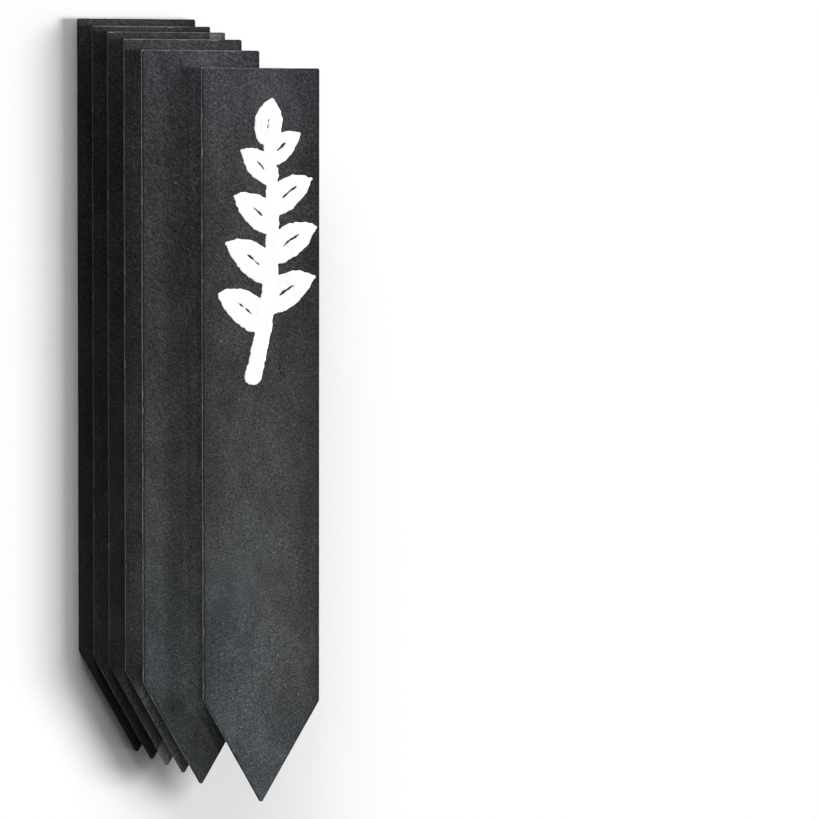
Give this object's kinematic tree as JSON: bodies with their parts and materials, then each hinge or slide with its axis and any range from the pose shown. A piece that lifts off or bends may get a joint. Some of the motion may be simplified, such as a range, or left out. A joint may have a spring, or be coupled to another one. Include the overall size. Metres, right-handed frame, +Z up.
{
  "type": "plant label stakes",
  "caption": "Flat slate plant label stakes with square heads and pointed ends, lying fanned out one on another, each free to lift off.",
  "frame": {"origin": "on the bench, under the middle of the fanned set's bounding box", "axes": "+Y along the stakes from the points to the heads, +Z up from the bench, +X across the stakes, the way the fan spreads from the bottom stake to the top one"},
  "size_m": [0.0828, 0.2668, 0.0238],
  "materials": {
    "slate": "matt split slate, dark blue-grey",
    "marking_paint": "matt white brushed paint"
  },
  "bodies": {
    "bottom_stake": {"bottom_stake": "slate"},
    "second_stake": {"second_stake": "slate"},
    "third_stake": {"third_stake": "slate"},
    "fourth_stake": {"fourth_stake": "slate"},
    "fifth_stake": {"fifth_stake": "slate"},
    "top_stake": {"top_stake": "slate"}
  },
  "joints": [
    {"name": "second_stake_lift", "type": "slide", "parent": "bottom_stake", "child": "second_stake", "axis": [0, 0, 1], "range_m": [0, 0.05]},
    {"name": "third_stake_lift", "type": "slide", "parent": "second_stake", "child": "third_stake", "axis": [0, 0, 1], "range_m": [0, 0.05]},
    {"name": "fourth_stake_lift", "type": "slide", "parent": "third_stake", "child": "fourth_stake", "axis": [0, 0, 1], "range_m": [0, 0.05]},
    {"name": "fifth_stake_lift", "type": "slide", "parent": "fourth_stake", "child": "fifth_stake", "axis": [0, 0, 1], "range_m": [0, 0.05]},
    {"name": "top_stake_lift", "type": "slide", "parent": "fifth_stake", "child": "top_stake", "axis": [0, 0, 1], "range_m": [0, 0.05]}
  ]
}
